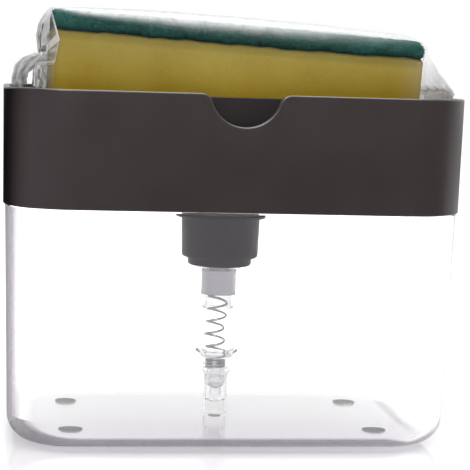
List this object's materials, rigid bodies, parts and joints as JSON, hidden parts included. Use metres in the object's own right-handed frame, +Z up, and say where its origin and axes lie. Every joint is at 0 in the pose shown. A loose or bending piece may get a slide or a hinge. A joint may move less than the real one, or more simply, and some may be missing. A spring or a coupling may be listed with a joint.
{
  "type": "soap pump caddy",
  "caption": "Countertop caddy: a clear soap tank under a dark frame with a sprung press tray that pumps dish soap up to a film-wrapped scouring sponge.",
  "frame": {"origin": "on the table under the middle of the tank", "axes": "+Z up, +X along the frame's width to the right, -Y towards the front with the finger notch"},
  "size_m": [0.135, 0.092, 0.1264],
  "materials": {
    "clear_tank": "clear moulded plastic, polished",
    "frame_grey": "dark warm grey, fine satin",
    "collar_grey": "dark grey, satin",
    "clear_pump": "clear moulded plastic",
    "natural_plastic": "natural milky plastic",
    "seal_rubber": "soft seal",
    "foot_rubber": "soft rubber",
    "spring_steel": "drawn wire",
    "ball_glass": "polished",
    "sponge_yellow": "open-cell foam",
    "scour_green": "non-woven scouring fibre",
    "clear_film": "crinkled clear film"
  },
  "bodies": {
    "base": {"tank": "clear_tank", "foot_front_left": "foot_rubber", "foot_front_right": "foot_rubber", "foot_back_left": "foot_rubber", "foot_back_right": "foot_rubber"},
    "head": {"frame": "frame_grey", "pump_collar": "collar_grey", "collar_gasket": "seal_rubber", "pump_barrel": "clear_pump", "stem_guide": "natural_plastic", "dip_tube": "clear_pump", "return_spring": "spring_steel"},
    "plunger": {"pump_stem": "natural_plastic", "stem_plug": "natural_plastic"},
    "piston": {"piston_seal": "natural_plastic"},
    "tray": {"press_tray": "frame_grey"},
    "sponge": {"sponge_foam": "sponge_yellow", "scour_pad": "scour_green", "sponge_wrapper": "clear_film"},
    "valve_ball": {"inlet_ball": "ball_glass"}
  },
  "joints": [
    {"name": "head_lift", "type": "slide", "parent": "base", "child": "head", "axis": [0, 0, 1], "range_m": [0, 0.078]},
    {"name": "tray_press", "type": "slide", "parent": "head", "child": "plunger", "axis": [0, 0, -1], "range_m": [0, 0.0105], "stiffness_N_per_m": 400, "springref_m": -0.0085, "deforming": ["return_spring"]},
    {"name": "piston_slip", "type": "slide", "parent": "plunger", "child": "piston", "axis": [0, 0, 1], "range_m": [0, 0.0015]},
    {"name": "tray_lift", "type": "slide", "parent": "plunger", "child": "tray", "axis": [0, 0, 1], "range_m": [0, 0.026]},
    {"name": "sponge_lift", "type": "slide", "parent": "tray", "child": "sponge", "axis": [0, 0, 1], "range_m": [0, 0.03]},
    {"name": "ball_lift", "type": "slide", "parent": "head", "child": "valve_ball", "axis": [0, 0, 1], "range_m": [0, 0.0023]}
  ]
}
